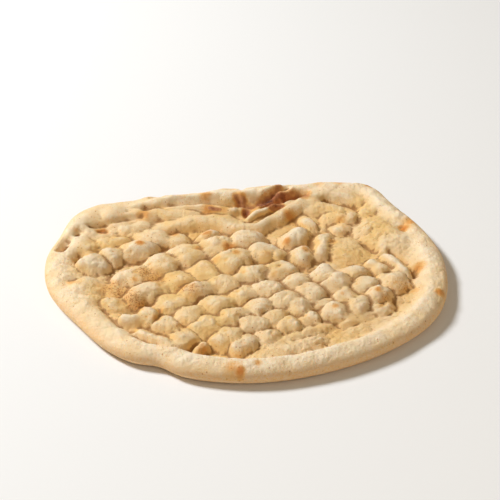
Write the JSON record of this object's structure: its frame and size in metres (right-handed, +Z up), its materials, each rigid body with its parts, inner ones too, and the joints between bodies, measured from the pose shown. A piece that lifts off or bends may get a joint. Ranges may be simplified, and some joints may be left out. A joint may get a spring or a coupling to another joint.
{
  "type": "pide bread",
  "caption": "Large flat oval leavened bread with a rolled rim, folded back edge and rows of fingertip-pressed lumps.",
  "frame": {"origin": "centre of the bounding box, on the plane of the flat underside", "axes": "+X along the bread's longest side, +Y towards the folded and scorched edge, +Z up out of the pressed side"},
  "size_m": [0.363, 0.2986, 0.0212],
  "materials": {
    "crust": "matte baked wheat crust, pale cream gold with toasted patches and a scorched fold"
  },
  "bodies": {
    "root": {"bread": "crust"}
  },
  "joints": []
}
